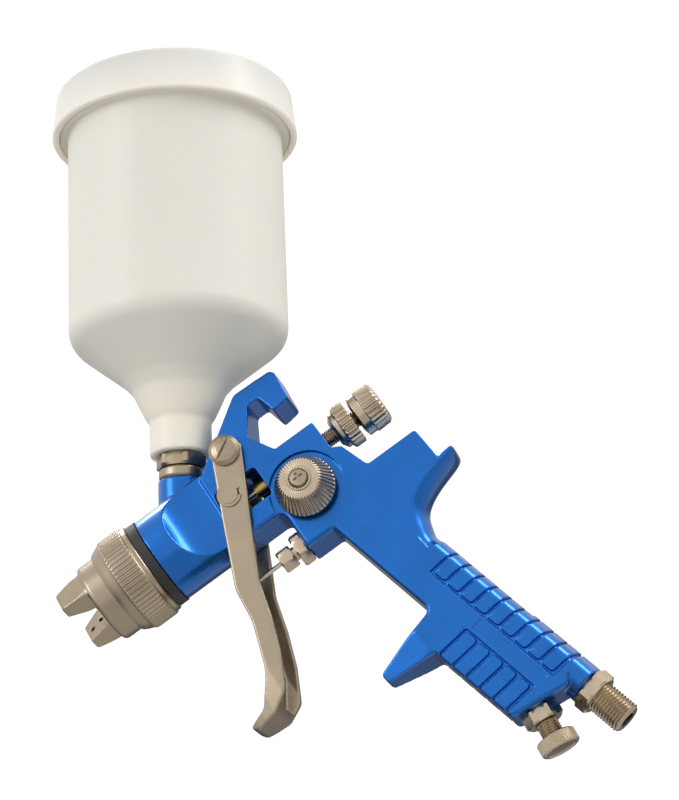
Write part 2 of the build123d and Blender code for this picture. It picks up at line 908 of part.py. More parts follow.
def pivot_screw():
    """The trigger's pivot screw with a domed, slotted head."""
    shank = rod_y(-arm_outer_y - 0.1, arm_outer_y + 1.2, pivot_r, *pivot)
    head = turned(
        [(0, 0), (0, pivot_head_r), (1.0, pivot_head_r), (2.1, 5.0), (2.9, 2.6), (3.1, 0)],
        (pivot[0], -arm_outer_y - 0.1, pivot[1]),
        (0, -1, 0),
    )
    slot = Plane(origin=(pivot[0], 0, pivot[1]), x_dir=(0.87, 0, 0.5), z_dir=(0, -1, 0))
    cut = extrude(slot * Pos(0, 0, arm_outer_y + 1.9) * Rectangle(20, 1.2), amount=4)
    return shank + head - cut


def pivot_nut():
    """The domed nut on the far end of the pivot screw."""
    nut = turned(
        [(0, pivot_r), (0, 5.4), (1.4, 5.4), (2.6, 3.6), (2.6, pivot_r)],
        (pivot[0], arm_outer_y + 0.1, pivot[1]),
        (0, 1, 0),
    )
    return nut


def valve_body():
    """The air valve's hexagonal body, screwed into the front of the block."""
    start = block_front_x - valve_hex_thick
    shape = hex_bar((start, 0, valve_z), (1, 0, 0), valve_hex_thick, valve_flats)
    shape += rod_x(block_front_x, valve_seat_x, valve_r, valve_z)
    shape -= rod_x(start - 1, start + 5.6, gland_thread_r, valve_z)
    shape -= rod_x(start, valve_seat_x + 1, stem_r + 0.5, valve_z)
    return shape


def valve_gland_nut():
    """The small hexagonal nut that squeezes the stem's packing."""
    end = gland_front_x + gland_hex_thick
    shape = hex_bar((gland_front_x, 0, valve_z), (1, 0, 0), gland_hex_thick, gland_flats)
    shape += rod_x(end, end + 2.6, gland_thread_r, valve_z)
    return shape - rod_x(gland_front_x - 1, end + 4, stem_r + needle_gap, valve_z)


def valve_packing():
    """The packing ring round the valve stem."""
    start = gland_front_x + gland_hex_thick + 2.6
    end = block_front_x - valve_hex_thick + 5.6
    ring = rod_x(start, end, gland_thread_r, valve_z)
    return ring - rod_x(start - 1, end + 1, stem_r + needle_gap, valve_z)


def valve_stem():
    """The stem that the trigger pushes, with the valve's poppet on its end."""
    profile = [
        (stem_tip_x, 0),
        (stem_tip_x, 0.5),
        (stem_tip_x + 0.5, stem_r),
        (valve_seat_x + 1.2, stem_r),
        (valve_seat_x + 1.2, poppet_r),
        (valve_seat_x + 3.2, poppet_r),
        (valve_seat_x + 3.2, 1.6),
        (valve_seat_x + 7.0, 1.6),
        (valve_seat_x + 7.0, 0),
    ]
    return turned(profile, (0, 0, valve_z), (1, 0, 0))


def valve_washer():
    """The soft washer on the poppet that closes the air."""
    ring = rod_x(valve_seat_x + 0.05, valve_seat_x + 1.2, poppet_r, valve_z)
    return ring - rod_x(valve_seat_x - 1, valve_seat_x + 3, stem_r, valve_z)


def valve_spring():
    """The spring that closes the air valve."""
    start = valve_seat_x + 3.25
    length = valve_bore_end_x - start - 0.05
    origin = (start, 0, valve_z)
    return coil(origin, (1, 0, 0), length, valve_spring_r, valve_spring_wire_r, 7)


def fan_bush():
    """The bush that carries the fan control in the body's side."""
    face = -body_half - 0.1
    bush = rod_y(-body_half, 1.0, fan_bush_r, fan_x, fan_z)
    bush += rod_y(face - 1.6, face + 0.1, fan_base_r - 1.6, fan_x, fan_z)
    return bush - rod_y(-30, 5, fan_stem_r + pivot_gap, fan_x, fan_z)


def fan_knob():
    """The conical knurled knob that sets the fan width."""
    base_y = -body_half - fan_standoff
    profile = [
        (0, 3.2),
        (0, fan_base_r - 0.4),
        (0.5, fan_base_r),
        (fan_height - 0.6, fan_face_r + 0.5),
        (fan_height, fan_face_r),
        (fan_height, fan_stem_r),
        (2.0, fan_stem_r),
        (2.0, 3.2),
    ]
    return turned(profile, (fan_x, base_y, fan_z), (0, -1, 0))


def fan_stem():
    """The fan control's stem with its metering end."""
    end_y = -body_half - fan_standoff - fan_height + 1.4
    shape = rod_y(end_y, 1.6, fan_stem_r, fan_x, fan_z)
    tip = turned(
        [(0, 0), (0, fan_stem_r + 1.2), (0.6, fan_stem_r + 1.2), (2.2, 1.0), (2.2, 0)],
        (fan_x, 1.6, fan_z),
        (0, 1, 0),
    )
    return shape + tip


def fan_screw():
    """The cross-recessed screw that holds the knob on its stem."""
    start_y = -body_half - fan_standoff - fan_height + 1.4
    head = turned(
        [(0, 0), (0, fan_stem_r - 0.1), (1.4, fan_stem_r - 0.1), (1.4, 3.7), (2.2, 3.3), (2.6, 0)],
        (fan_x, start_y, fan_z),
        (0, -1, 0),
    )
    for long, wide in ((4.4, 1.1), (1.1, 4.4)):
        head -= Pos(fan_x, start_y - 3.0, fan_z) * Box(long, 3.0, wide)
    return head


def air_inlet():
    """The air inlet fitting: hexagon and male thread."""
    start = inlet_base()
    shape = hex_bar(start, rake_dir, inlet_hex_thick, inlet_flats)
    profile = [
        (0, air_bore_r),
        (0, inlet_thread_r),
        (inlet_thread_length - inlet_chamfer, inlet_thread_r),
        (inlet_thread_length, inlet_thread_r - inlet_chamfer),
        (inlet_thread_length, air_bore_r),
    ]
    shape += turned(profile, inlet_seat, rake_dir)
    shape -= rod(start, rake_dir, 40, air_bore_r)
    return shape


def along_end(distance):
    """A point on the regulator's axis, measured out of the grip's end face."""
    return tuple(base + distance * way for base, way in zip(regulator_point(), end_dir))


def regulator_bushing():
    """The hexagonal bushing that carries the regulator's stem."""
    shape = hex_bar(along_end(0), end_dir, regulator_hex_thick, regulator_flats)
    shape += rod(along_end(-9), end_dir, 9, regulator_thread_r - 1.0)
    return shape - rod(along_end(-10), end_dir, 30, 2.0 + pivot_gap)


def regulator_stem():
    """The regulator's stem, threaded outside the bushing and tapered inside."""
    inside = turned(
        [(0, 2.0), (22, 2.0), (27, 0.8), (27, 0), (0, 0)],
        along_end(regulator_hex_thick + 0.2),
        tuple(-way for way in end_dir),
    )
    return inside + rod(
        along_end(regulator_hex_thick + 0.2), end_dir, regulator_gap + 2.0, regulator_thread_r
    )


def regulator_knob():
    """The knurled disc knob of the regulator."""
    start = along_end(regulator_hex_thick + regulator_gap)
    profile = [
        (0, regulator_thread_r),
        (0, regulator_knob_r - 0.5),
        (0.5, regulator_knob_r),
        (regulator_knob_thick - 0.8, regulator_knob_r),
        (regulator_knob_thick, regulator_knob_r - 0.9),
        (regulator_knob_thick, 0),
        (2.3, 0),
        (2.3, regulator_thread_r),
    ]
    return turned(profile, start, end_dir)


pieces = {
    "gun_body": gun_body,
    "head_seal_ring": head_seal_ring,
    "air_cap_ring": air_cap_ring,
    "air_cap": air_cap,
    "fluid_nozzle": fluid_nozzle,
    "air_baffle": air_baffle,
    "fluid_needle": fluid_needle,
    "needle_collar": needle_collar,
    "needle_packing": needle_packing,
    "packing_nut": packing_nut,
    "needle_guide": needle_guide,
    "needle_spring": needle_spring,
    "needle_lock_nut": needle_lock_nut,
    "needle_knob": needle_knob,
    "needle_stop": needle_stop,
    "inlet_collar": inlet_collar,
    "inlet_nipple": inlet_nipple,
    "paint_cup": paint_cup,
    "cup_strainer": cup_strainer,
    "cup_lid": cup_lid,
    "lid_gasket": lid_gasket,
    "lid_vent": lid_vent,
    "trigger": trigger,
    "needle_pull_pin": needle_pull_pin,
    "pin_clips": pin_clips,
    "pivot_screw": pivot_screw,
    "pivot_nut": pivot_nut,
    "valve_body": valve_body,
    "valve_gland_nut": valve_gland_nut,
    "valve_packing": valve_packing,
    "valve_stem": valve_stem,
    "valve_washer": valve_washer,
    "valve_spring": valve_spring,
    "fan_bush": fan_bush,
    "fan_knob": fan_knob,
    "fan_stem": fan_stem,
    "fan_screw": fan_screw,
    "air_inlet": air_inlet,
    "regulator_bushing": regulator_bushing,
    "regulator_stem": regulator_stem,
    "regulator_knob": regulator_knob,
}

os.makedirs("parts", exist_ok=True)
to_inlet = Pos(*[-value for value in inlet_seat])
for name, make in pieces.items():
    export_step(to_inlet * make(), f"parts/{name}.step")
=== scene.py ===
"""A gravity-fed spray gun: materials, light, and the fine shapes of its casting, turned
pieces, threads and cup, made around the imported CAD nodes."""
import json
import math

import bmesh
import bpy
import numpy as np
from mathutils import Matrix, Vector

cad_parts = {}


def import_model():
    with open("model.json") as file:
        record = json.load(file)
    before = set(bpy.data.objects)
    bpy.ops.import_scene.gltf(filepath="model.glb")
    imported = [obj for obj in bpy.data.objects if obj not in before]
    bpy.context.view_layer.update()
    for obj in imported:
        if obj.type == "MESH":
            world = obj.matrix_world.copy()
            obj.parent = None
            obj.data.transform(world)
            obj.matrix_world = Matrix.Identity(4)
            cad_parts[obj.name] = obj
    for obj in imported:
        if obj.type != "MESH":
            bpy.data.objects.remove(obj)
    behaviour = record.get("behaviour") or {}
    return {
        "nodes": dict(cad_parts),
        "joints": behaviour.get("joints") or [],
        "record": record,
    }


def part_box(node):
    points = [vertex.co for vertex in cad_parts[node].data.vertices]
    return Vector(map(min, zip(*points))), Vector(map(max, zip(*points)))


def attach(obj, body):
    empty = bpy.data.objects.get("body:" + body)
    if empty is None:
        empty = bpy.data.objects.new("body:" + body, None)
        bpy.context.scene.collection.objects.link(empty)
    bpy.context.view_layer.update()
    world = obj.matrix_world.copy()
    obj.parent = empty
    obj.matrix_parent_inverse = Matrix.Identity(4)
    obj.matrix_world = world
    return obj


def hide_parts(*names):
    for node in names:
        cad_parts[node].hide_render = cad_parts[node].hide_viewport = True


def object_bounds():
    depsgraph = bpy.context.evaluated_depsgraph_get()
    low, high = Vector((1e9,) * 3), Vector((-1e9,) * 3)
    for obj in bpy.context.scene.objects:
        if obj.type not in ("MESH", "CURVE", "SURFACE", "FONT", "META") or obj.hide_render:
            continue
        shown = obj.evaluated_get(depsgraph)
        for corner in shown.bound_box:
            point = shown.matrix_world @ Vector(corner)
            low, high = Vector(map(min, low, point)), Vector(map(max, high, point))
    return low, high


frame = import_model()
cad_low, cad_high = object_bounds()
nodes = frame["nodes"]
MM = 0.001

# The head frame has its origin on the spray axis, at the rear edge of the cap ring.
ring_low, ring_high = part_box("air_cap_ring")
HEAD = Vector((ring_high.x, 0, (ring_low.z + ring_high.z) / 2))


def direction_of(joint):
    """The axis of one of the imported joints."""
    found = next(j for j in frame["joints"] if j["name"] == joint)
    return Vector(found["axis"]).normalized()


def mount_way(mount):
    """The way that one of the recorded mounts points."""
    found = next(m for m in frame["record"]["mounts"] if m["name"] == mount)
    return Vector(found["axis"]).normalized()


def head(x, y, z):
    """A point given in head-frame millimetres, in the row frame in metres."""
    return HEAD + Vector((x, y, z)) * MM


CUP_WAY = direction_of("cup_turn")
CUP_BASE = head(15.0, 0, 0)
RAKE_WAY = mount_way("air_inlet")
END_WAY = direction_of("air_regulator_turn")


# ---------------------------------------------------------------- camera and light
CAMERA_PLACE = head(96.1, -931.6, -391.1)
CAMERA_RIGHT = Vector((0.8075, 0.2298, -0.5433))
CAMERA_UP = Vector((0.5899, -0.3230, 0.7401))
CAMERA_LENS = 111.4
SENSOR_WIDTH = 36.0


def look():
    """The main camera, on the fan knob's side of the gun, below it and rolled."""
    data = bpy.data.cameras.new("camera")
    data.sensor_width = SENSOR_WIDTH
    data.lens = CAMERA_LENS
    data.clip_start = 0.05
    data.clip_end = 30.0
    camera = bpy.data.objects.new("camera", data)
    back = CAMERA_RIGHT.cross(CAMERA_UP).normalized()
    place = Matrix((CAMERA_RIGHT, CAMERA_UP, back)).transposed().to_4x4()
    place.translation = CAMERA_PLACE
    camera.matrix_world = place
    bpy.context.scene.collection.objects.link(camera)
    bpy.context.scene.camera = camera


def area(name, place, target, size, power):
    """A soft rectangular lamp that points at the target."""
    data = bpy.data.lights.new(name, "AREA")
    data.shape = "RECTANGLE"
    data.size, data.size_y = size
    data.energy = power
    lamp = bpy.data.objects.new(name, data)
    lamp.location = place
    lamp.rotation_mode = "QUATERNION"
    lamp.rotation_quaternion = (Vector(target) - Vector(place)).to_track_quat("-Z", "Y")
    bpy.context.scene.collection.objects.link(lamp)


SKY_WAY = (0.35, -0.55, 0.76)
SKY_DARK = (0.10, 0.10, 0.11, 1)
SKY_BRIGHT = (1.0, 0.99, 0.97, 1)
SKY_DARK_END = 0.28
SKY_BRIGHT_END = 0.58
SKY_STRENGTH = 1.08
BACKDROP = (1.0, 1.0, 1.0, 1.0)


def world():
    """Soft studio light that is brighter towards SKY_WAY, and a white backdrop that only
    the camera sees."""
    made = bpy.data.worlds.new("studio")
    bpy.context.scene.world = made
    made.use_nodes = True
    tree = made.node_tree
    tree.nodes.clear()
    out = tree.nodes.new("ShaderNodeOutputWorld")
    back = tree.nodes.new("ShaderNodeBackground")
    ramp = tree.nodes.new("ShaderNodeValToRGB")
    along = tree.nodes.new("ShaderNodeVectorMath")
    along.operation = "DOT_PRODUCT"
    along.inputs[1].default_value = SKY_WAY
    place = tree.nodes.new("ShaderNodeTexCoord")
    span = tree.nodes.new("ShaderNodeMapRange")
    span.inputs["From Min"].default_value = -1.0
    tree.links.new(place.outputs["Generated"], along.inputs[0])
    tree.links.new(along.outputs["Value"], span.inputs["Value"])
    tree.links.new(span.outputs[0], ramp.inputs[0])
    ramp.color_ramp.elements[0].position = SKY_DARK_END
    ramp.color_ramp.elements[0].color = SKY_DARK
    ramp.color_ramp.elements[1].position = SKY_BRIGHT_END
    ramp.color_ramp.elements[1].color = SKY_BRIGHT
    ray = tree.nodes.new("ShaderNodeLightPath")
    pick = tree.nodes.new("ShaderNodeMix")
    pick.data_type = "RGBA"
    pick.inputs["B"].default_value = BACKDROP
    tree.links.new(ray.outputs["Is Camera Ray"], pick.inputs["Factor"])
    tree.links.new(ramp.outputs[0], pick.inputs["A"])
    tree.links.new(pick.outputs["Result"], back.inputs["Color"])
    back.inputs["Strength"].default_value = SKY_STRENGTH
    tree.links.new(back.outputs[0], out.inputs[0])


look()
world()
bpy.context.scene.view_settings.view_transform = "Standard"
middle = (cad_low + cad_high) / 2

# Each lamp has its place, its width and height in metres, and its power in watts.
LAMPS = {
    "key": ((-0.55, -0.75, 0.75), (0.4, 0.5), 2.2),
    "fill": ((1.0, -0.1, 0.5), (0.25, 0.7), 5.0),
    "rim": ((0.0, 0.45, 1.1), (0.4, 0.4), 4.0),
}
for name, (place, size, power) in LAMPS.items():
    area(name, place, middle, size, power)


# ---------------------------------------------------------------- materials
NOISE_LOW = 0.3
NOISE_HIGH = 0.7
FINE_SHARE = 0.35
RELIEF_HEIGHT = 0.0002


def surface(name, base, metallic=0.0, rough=0.4, spread=0.06, grain=2600.0, bump=0.02,
            broad=45.0, shift=0.12, coat=0.0, coat_rough=0.1):
    """A procedural finish: broad and fine noise shifts its colour and roughness, and the
    fine noise raises its grain."""
    made = bpy.data.materials.new(name)
    made.use_nodes = True
    tree = made.node_tree
    shader = tree.nodes["Principled BSDF"]
    shader.inputs["Metallic"].default_value = metallic
    shader.inputs["Coat Weight"].default_value = coat
    shader.inputs["Coat Roughness"].default_value = coat_rough
    place = tree.nodes.new("ShaderNodeTexCoord")
    wide = tree.nodes.new("ShaderNodeTexNoise")
    wide.inputs["Scale"].default_value = broad
    wide.inputs["Detail"].default_value = 3.0
    fine = tree.nodes.new("ShaderNodeTexNoise")
    fine.inputs["Scale"].default_value = grain
    fine.inputs["Detail"].default_value = 2.0
    tree.links.new(place.outputs["Object"], wide.inputs["Vector"])
    tree.links.new(place.outputs["Object"], fine.inputs["Vector"])
    ramp = tree.nodes.new("ShaderNodeValToRGB")
    ramp.color_ramp.elements[0].position = NOISE_LOW
    ramp.color_ramp.elements[1].position = NOISE_HIGH
    dark = [c * (1 - shift) for c in base]
    light = [min(1.0, c * (1 + shift)) for c in base]
    ramp.color_ramp.elements[0].color = (*dark, 1)
    ramp.color_ramp.elements[1].color = (*light, 1)
    blend = tree.nodes.new("ShaderNodeMix")
    blend.data_type = "FLOAT"
    blend.inputs["Factor"].default_value = FINE_SHARE
    tree.links.new(wide.outputs["Fac"], blend.inputs["A"])
    tree.links.new(fine.outputs["Fac"], blend.inputs["B"])
    tree.links.new(blend.outputs["Result"], ramp.inputs[0])
    tree.links.new(ramp.outputs[0], shader.inputs["Base Color"])
    polish = tree.nodes.new("ShaderNodeMapRange")
    polish.inputs["From Min"].default_value = NOISE_LOW
    polish.inputs["From Max"].default_value = NOISE_HIGH
    polish.inputs["To Min"].default_value = max(0.02, rough - spread)
    polish.inputs["To Max"].default_value = rough + spread
    tree.links.new(blend.outputs["Result"], polish.inputs["Value"])
    tree.links.new(polish.outputs[0], shader.inputs["Roughness"])
    relief = tree.nodes.new("ShaderNodeBump")
    relief.inputs["Strength"].default_value = bump
    relief.inputs["Distance"].default_value = RELIEF_HEIGHT
    tree.links.new(fine.outputs["Fac"], relief.inputs["Height"])
    tree.links.new(relief.outputs[0], shader.inputs["Normal"])
    return made


BLUE = surface("blue_candy", (0.002, 0.118, 0.46), metallic=0.85, rough=0.27, spread=0.05,
               grain=1500.0, bump=0.08, broad=60.0, shift=0.10, coat=0.35, coat_rough=0.08)
NICKEL = surface("satin_nickel", (0.35, 0.29, 0.215), metallic=1.0, rough=0.33, spread=0.06,
                 grain=2400.0, bump=0.12, broad=70.0, shift=0.10)
# A brighter copy of the satin nickel for the rear turned knobs, nuts and threads. Its lighter base colour
# is painted light, standing in for light that the lamps and world do not bring to these parts; it is the
# same nickel finish.
NICKEL_PAINTED_LIGHT = surface("nickel_painted_light", (0.47, 0.385, 0.285), metallic=1.0, rough=0.25, spread=0.07,
                      grain=2400.0, bump=0.12, broad=90.0, shift=0.16)
STEEL = surface("ground_steel", (0.50, 0.48, 0.44), metallic=1.0, rough=0.28, spread=0.06,
                grain=3200.0, bump=0.08, shift=0.08)
BRASS = surface("turned_brass", (0.50, 0.33, 0.09), metallic=1.0, rough=0.30, spread=0.06,
                grain=2600.0, bump=0.10, shift=0.14)
RUBBER = surface("black_rubber", (0.012, 0.012, 0.013), metallic=0.0, rough=0.55, spread=0.08,
                 grain=1800.0, bump=0.15, shift=0.2)
MILK = surface("milky_cup", (0.83, 0.765, 0.655), metallic=0.0, rough=0.40, spread=0.04,
               grain=700.0, bump=0.03, broad=22.0, shift=0.025)
LID = surface("milky_lid", (0.83, 0.77, 0.67), metallic=0.0, rough=0.42, spread=0.05,
              grain=700.0, bump=0.04, broad=22.0, shift=0.03)
WHITE = surface("white_plastic", (0.74, 0.73, 0.70), metallic=0.0, rough=0.4, grain=900.0,
                bump=0.05, shift=0.04)

# The cup's plastic lets light through it.
for plastic in (MILK, LID):
    shader = plastic.node_tree.nodes["Principled BSDF"]
    shader.inputs["Subsurface Weight"].default_value = 0.6
    shader.inputs["Subsurface Radius"].default_value = (1.0, 0.85, 0.65)
    shader.inputs["Subsurface Scale"].default_value = 0.012
    shader.inputs["IOR"].default_value = 1.5


# ---------------------------------------------------------------- mesh tools
TINY = 1e-6
EASE_STEPS = 3
ARC_STEPS = 8
FACE_HALF = math.pi / 6


def place_at(start, way, side=None):
    """A frame with Z along way and X near side."""
    z = Vector(way).normalized()
    x = Vector(side) if side else Vector((0, 1, 0))
    x = (x - z * x.dot(z)).normalized()
    made = Matrix((x, z.cross(x), z)).transposed().to_4x4()
    made.translation = start
    return made


def build(name, points, faces, material, body, replaced=(), sharp=35.0):
    """A smooth-shaded piece that rides on a body and stands for CAD nodes."""
    mesh = bpy.data.meshes.new(name)
    mesh.from_pydata([tuple(p) for p in points], [], faces)
    mesh.validate()
    mesh.update()
    mesh.shade_smooth()
    mesh.set_sharp_from_angle(angle=math.radians(sharp))
    mesh.materials.append(material)
    piece = bpy.data.objects.new(name, mesh)
    bpy.context.scene.collection.objects.link(piece)
    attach(piece, body)
    if replaced:
        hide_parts(*replaced)
    return piece


def eased(profile, ease):
    """The closed profile with its corners rounded off by up to ease millimetres."""
    made = []
    count = len(profile)
    for i, point in enumerate(profile):
        here = np.array(point, float)
        before = np.array(profile[i - 1], float)
        after = np.array(profile[(i + 1) % count], float)
        a, b = before - here, after - here
        la, lb = np.linalg.norm(a), np.linalg.norm(b)
        if la < TINY or lb < TINY or point[1] <= TINY:
            made.append(point)
            continue
        cut = min(ease, 0.4 * la, 0.4 * lb)
        p0, p2 = here + a / la * cut, here + b / lb * cut
        for k in range(EASE_STEPS + 1):
            t = k / EASE_STEPS
            mid = (1 - t) ** 2 * p0 + 2 * t * (1 - t) * here + t * t * p2
            made.append((float(mid[0]), float(mid[1])))
    return made


def lathe(name, profile, start, way, material, body, replaced=(), around=96,
          ease=0.3, shape=None, side=None):
    """A turned piece. The profile is (along, radius) in millimetres; shape may change a
    radius by its place and angle, as knurls, flutes and hexagons do."""
    path = eased(profile, ease) if ease else list(profile)
    along = np.array([p[0] for p in path])
    radius = np.array([p[1] for p in path])
    angle = np.linspace(0, 2 * math.pi, around, endpoint=False)
    grid = np.repeat(radius[:, None], around, axis=1)
    if shape:
        grid = shape(along[:, None], grid, angle[None, :])
    place = place_at(start, way, side)
    x = grid * np.cos(angle) * MM
    y = grid * np.sin(angle) * MM
    z = np.repeat(along[:, None], around, axis=1) * MM
    local = np.stack([x, y, z], axis=-1).reshape(-1, 3)
    turn = np.array(place.to_3x3())
    points = local @ turn.T + np.array(place.translation)
    rows = len(path)
    faces = []
    for i in range(rows):
        j = (i + 1) % rows
        if radius[i] <= TINY and radius[j] <= TINY:
            continue
        for k in range(around):
            m = (k + 1) % around
            quad = (i * around + k, i * around + m, j * around + m, j * around + k)
            if radius[i] <= TINY:
                quad = (i * around, j * around + m, j * around + k)
            elif radius[j] <= TINY:
                quad = (i * around + k, i * around + m, j * around)
            faces.append(quad)
    piece = build(name, points, faces, material, body, replaced)
    tidy(piece)


def tidy(piece):
    """Drops loose points and turns the faces outwards."""
    work = bmesh.new()
    work.from_mesh(piece.data)
    loose = [v for v in work.verts if not v.link_faces]
    bmesh.ops.delete(work, geom=loose, context="VERTS")
    bmesh.ops.recalc_face_normals(work, faces=work.faces)
    work.to_mesh(piece.data)
    work.free()


def hexagon(flats, phase=0.0):
    """Cuts a turned profile to a hexagonal bar."""
    def cut(along, radius, angle):
        local = np.mod(angle + phase, 2 * FACE_HALF) - FACE_HALF
        return np.minimum(radius, flats / 2 / np.cos(local))
    return cut


def flutes(count, depth, low, high, fade=0.8, sharpness=1.0):
    """Straight grooves along a band between low and high, faded at its ends."""
    def cut(along, radius, angle):
        band = np.clip((along - low) / fade, 0, 1) * np.clip((high - along) / fade, 0, 1)
        wave = 0.5 + 0.5 * np.cos(count * angle)
        wave = np.clip((wave - 0.5) * sharpness + 0.5, 0, 1)
        return radius - depth * band * wave
    return cut


STEPS_PER_TURN = 8


def screw_thread(name, start, way, length, radius, pitch, depth, material, body,
                 replaced=(), bore=0.0, chamfer=0.8, around=48):
    """A rod or tube with a real helical thread, chamfered at its far end."""
    rows = int(length / pitch * STEPS_PER_TURN) + 1
    along = np.linspace(0, length, rows)
    angle = np.linspace(0, 2 * math.pi, around, endpoint=False)
    phase = np.mod(along[:, None] / pitch - angle[None, :] / (2 * math.pi), 1.0)
    tooth = np.abs(2 * phase - 1)
    # Clipping the triangular wave leaves small flats on the crests and in the roots.
    tooth = np.clip(tooth * 1.25 - 0.125, 0, 1)
    grid = radius - depth * tooth
    limit = radius - np.clip(chamfer - (length - along), 0, None)[:, None]
    grid = np.minimum(grid, limit)
    place = place_at(start, way)
    rings = [(grid[i], along[i]) for i in range(rows)]
    inner = np.full(around, max(bore, 0.0))
    rings = [(np.minimum(inner, grid[0]), along[0])] + rings + [(inner, along[-1])]
    points = []
    for ring, height in rings:
        for k in range(around):
            x = ring[k] * math.cos(angle[k]) * MM
            y = ring[k] * math.sin(angle[k]) * MM
            points.append((x, y, height * MM))
    points = np.array(points) @ np.array(place.to_3x3()).T + np.array(place.translation)
    faces = []
    total = len(rings)
    for i in range(total):
        j = (i + 1) % total
        if bore <= 0 and j == 0:
            continue
        for k in range(around):
            m = (k + 1) % around
            faces.append((i * around + k, i * around + m, j * around + m, j * around + k))
    piece = build(name, points, faces, material, body, replaced, 50.0)
    weld(piece)


def weld(piece, distance=TINY):
    """Joins points that lie together and turns the faces outwards."""
    work = bmesh.new()
    work.from_mesh(piece.data)
    bmesh.ops.remove_doubles(work, verts=work.verts, dist=distance)
    bmesh.ops.dissolve_degenerate(work, dist=1e-7, edges=work.edges)
    bmesh.ops.recalc_face_normals(work, faces=work.faces)
    work.to_mesh(piece.data)
    work.free()


def finish_node(name, material):
    """A CAD node whose shape is right gets its finish."""
    node = nodes[name]
    node.data.materials.clear()
    node.data.materials.append(material)


def cad_mesh(node_name):
    """Points and faces of a CAD node."""
    data = nodes[node_name].data
    points = np.empty(len(data.vertices) * 3)
    data.vertices.foreach_get("co", points)
    return points.reshape(-1, 3), [tuple(p.vertices) for p in data.polygons]


def cast(name, node_name, material, body, voxel, rounds, triangle_limit, shaped=None):
    """A cast or pressed piece: the CAD solid remeshed, with its edges worn round. The voxel
    is in millimetres, and shaped may work on the mesh before it is thinned."""
    points, faces = cad_mesh(node_name)
    piece = build(name, points, faces, material, body, (node_name,), 180.0)
    weld(piece, 1e-5)
    remesh = piece.modifiers.new("even", "REMESH")
    remesh.mode = "VOXEL"
    remesh.voxel_size = voxel * MM
    remesh.use_smooth_shade = True
    smooth = piece.modifiers.new("soft", "SMOOTH")
    smooth.factor = 0.5
    smooth.iterations = rounds
    bake(piece)
    if shaped:
        shaped(piece)
    triangles = len(piece.data.polygons) * 2
    if triangles > triangle_limit:
        thin = piece.modifiers.new("thin", "DECIMATE")
        thin.ratio = triangle_limit / triangles
        bake(piece)
    piece.data.shade_smooth()
    level = piece.modifiers.new("flats", "WEIGHTED_NORMAL")
    level.weight = 60
    bake(piece)


def bake(piece):
    """Applies a piece's modifiers to its mesh."""
    graph = bpy.context.evaluated_depsgraph_get()
    made = bpy.data.meshes.new_from_object(piece.evaluated_get(graph))
    piece.modifiers.clear()
    old = piece.data
    piece.data = made
    bpy.data.meshes.remove(old)


# ---------------------------------------------------------------- casting
GRIP_RAKE = math.radians(13.2)
PAD_TILT = math.radians(6.0)

# The point that the grip's own axes start from, in the head frame.
GRIP_X = 102.0
GRIP_Z = -66.5

# Each panel of the grip: across from and to, down from and to, its pads and their pitch.
PANELS = (
    (-12.0, 13.6, 7.4, 72.4, 9, 7.05),
    (21.2, 48.0, 34.6, 70.4, 5, 6.9),
)
PANEL_CORNER = 1.0
PAD_INSET = 1.0
PAD_GAP = 1.05
PAD_CORNER = 1.3
GROOVE_DEPTH = 1.25
GROOVE_EDGE = 0.20
REFINE_REACH = 0.8

# The plain strip between the panels lies slightly lower than the pads.
STRIP = (14.9, 19.9, 36.0, 71.0)
STRIP_CORNER = 0.8
STRIP_DEPTH = 0.5


def smooth_step(value, low, high):
    """0 below low, 1 above high and an even S between them."""
    t = np.clip((value - low) / (high - low), 0, 1)
    return t * t * (3 - 2 * t)


def box_distance(u, v, u0, u1, v0, v1, corner):
    """Signed distance to a rounded rectangle, negative inside."""
    cu, cv = (u0 + u1) / 2, (v0 + v1) / 2
    hu, hv = (u1 - u0) / 2 - corner, (v1 - v0) / 2 - corner
    du, dv = np.abs(u - cu) - hu, np.abs(v - cv) - hv
    outside = np.hypot(np.maximum(du, 0), np.maximum(dv, 0))
    return outside + np.minimum(np.maximum(du, dv), 0) - corner


def grip_place(points):
    """Across (u) and down (w) the grip, in millimetres, w being square to the pads."""
    local = (points - np.array(HEAD)) / MM
    x, z = local[:, 0] - GRIP_X, local[:, 2] - GRIP_Z
    u = -(x * math.cos(GRIP_RAKE) + z * math.sin(GRIP_RAKE))
    v = x * math.sin(GRIP_RAKE) - z * math.cos(GRIP_RAKE)
    return u, v + u * math.tan(PAD_TILT)


def refine_grip(piece):
    """Splits the faces of the grip's two panels, for the pads' narrow grooves."""
    work = bmesh.new()
    work.from_mesh(piece.data)
    centres = np.array([f.calc_center_median() for f in work.faces])
    u, w = grip_place(centres)
    near = np.zeros(len(centres), bool)
    for u0, u1, v0, v1, _, _ in PANELS:
        near |= box_distance(u, w, u0, u1, v0, v1, PANEL_CORNER) < REFINE_REACH
    work.faces.ensure_lookup_table()
    edges = {e for i in np.flatnonzero(near) for e in work.faces[i].edges}
    bmesh.ops.subdivide_edges(work, edges=list(edges), cuts=1, use_grid_fill=True)
    work.to_mesh(piece.data)
    work.free()


